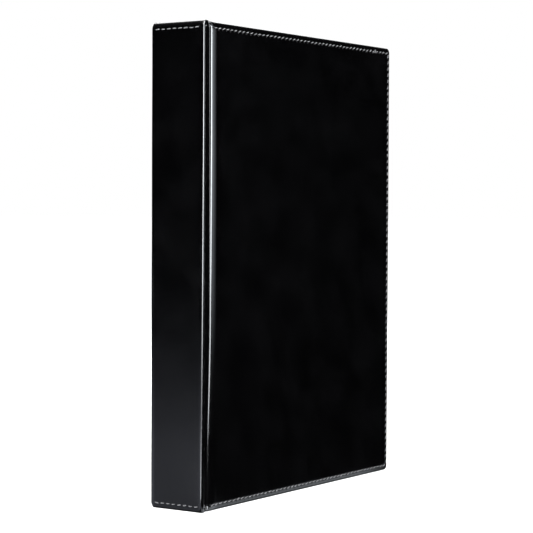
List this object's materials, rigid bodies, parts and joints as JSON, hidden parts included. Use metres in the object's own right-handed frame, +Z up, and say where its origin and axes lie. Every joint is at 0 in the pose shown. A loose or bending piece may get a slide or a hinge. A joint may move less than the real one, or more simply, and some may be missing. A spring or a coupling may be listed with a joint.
{
  "type": "ring binder",
  "caption": "Upright A4 ring binder: stitched black leather over stiff boards, hinged covers, and a round-ring mechanism on the spine opened by end levers.",
  "frame": {"origin": "bottom centre of the closed binder's box, on the surface it stands on", "axes": "+Z up along the spine, -Y out of the spine, +Y towards the fore edge, +X out of the front cover"},
  "size_m": [0.042, 0.238, 0.315],
  "materials": {
    "black_leather": "satin",
    "bookbinders_board": "matte",
    "black_lining": "matte",
    "black_thread": "matte",
    "nickel_plated_steel": "polished",
    "zinc_plated_steel": "satin"
  },
  "bodies": {
    "spine": {"spine_leather": "black_leather", "spine_board": "bookbinders_board", "spine_lining": "black_lining", "spine_upper_stitching": "black_thread", "spine_lower_stitching": "black_thread", "mechanism_housing": "nickel_plated_steel", "upper_rivet": "nickel_plated_steel", "lower_rivet": "nickel_plated_steel", "upper_lever_pin": "zinc_plated_steel", "lower_lever_pin": "zinc_plated_steel"},
    "front_cover": {"front_cover_leather": "black_leather", "front_cover_board": "bookbinders_board", "front_cover_lining": "black_lining", "front_cover_stitching": "black_thread"},
    "rear_cover": {"rear_cover_leather": "black_leather", "rear_cover_board": "bookbinders_board", "rear_cover_lining": "black_lining", "rear_cover_stitching": "black_thread"},
    "left_ring_plate": {"left_hinge_plate": "zinc_plated_steel", "left_half_ring_1": "nickel_plated_steel", "left_half_ring_2": "nickel_plated_steel", "left_half_ring_3": "nickel_plated_steel", "left_half_ring_4": "nickel_plated_steel"},
    "right_ring_plate": {"right_hinge_plate": "zinc_plated_steel", "right_half_ring_1": "nickel_plated_steel", "right_half_ring_2": "nickel_plated_steel", "right_half_ring_3": "nickel_plated_steel", "right_half_ring_4": "nickel_plated_steel"},
    "upper_lever": {"upper_lever": "nickel_plated_steel"},
    "lower_lever": {"lower_lever": "nickel_plated_steel"}
  },
  "joints": [
    {"name": "front_cover_hinge", "type": "hinge", "parent": "spine", "child": "front_cover", "pos_m": [0.0195, -0.1175, 0.1575], "axis": [0, 0, -1], "range_deg": [0, 175]},
    {"name": "rear_cover_hinge", "type": "hinge", "parent": "spine", "child": "rear_cover", "pos_m": [-0.0195, -0.1175, 0.1575], "axis": [0, 0, 1], "range_deg": [0, 175]},
    {"name": "upper_lever_pivot", "type": "hinge", "parent": "spine", "child": "upper_lever", "pos_m": [0, -0.1131, 0.296], "axis": [1, 0, 0], "range_deg": [0, 24]},
    {"name": "lower_lever_pivot", "type": "hinge", "parent": "spine", "child": "lower_lever", "pos_m": [0, -0.1131, 0.019], "axis": [-1, 0, 0], "range_deg": [0, 24]},
    {"name": "left_plate_pivot", "type": "hinge", "parent": "spine", "child": "left_ring_plate", "pos_m": [-0.009, -0.1134, 0.1575], "axis": [0, 0, 1], "range_deg": [0, 9]},
    {"name": "right_plate_pivot", "type": "hinge", "parent": "spine", "child": "right_ring_plate", "pos_m": [0.009, -0.1134, 0.1575], "axis": [0, 0, -1], "range_deg": [0, 9]}
  ],
  "couplings": [
    {"joint": "lower_lever_pivot", "follows": "upper_lever_pivot", "ratio": 1},
    {"joint": "left_plate_pivot", "follows": "upper_lever_pivot", "ratio": 0.375},
    {"joint": "right_plate_pivot", "follows": "upper_lever_pivot", "ratio": 0.375}
  ]
}
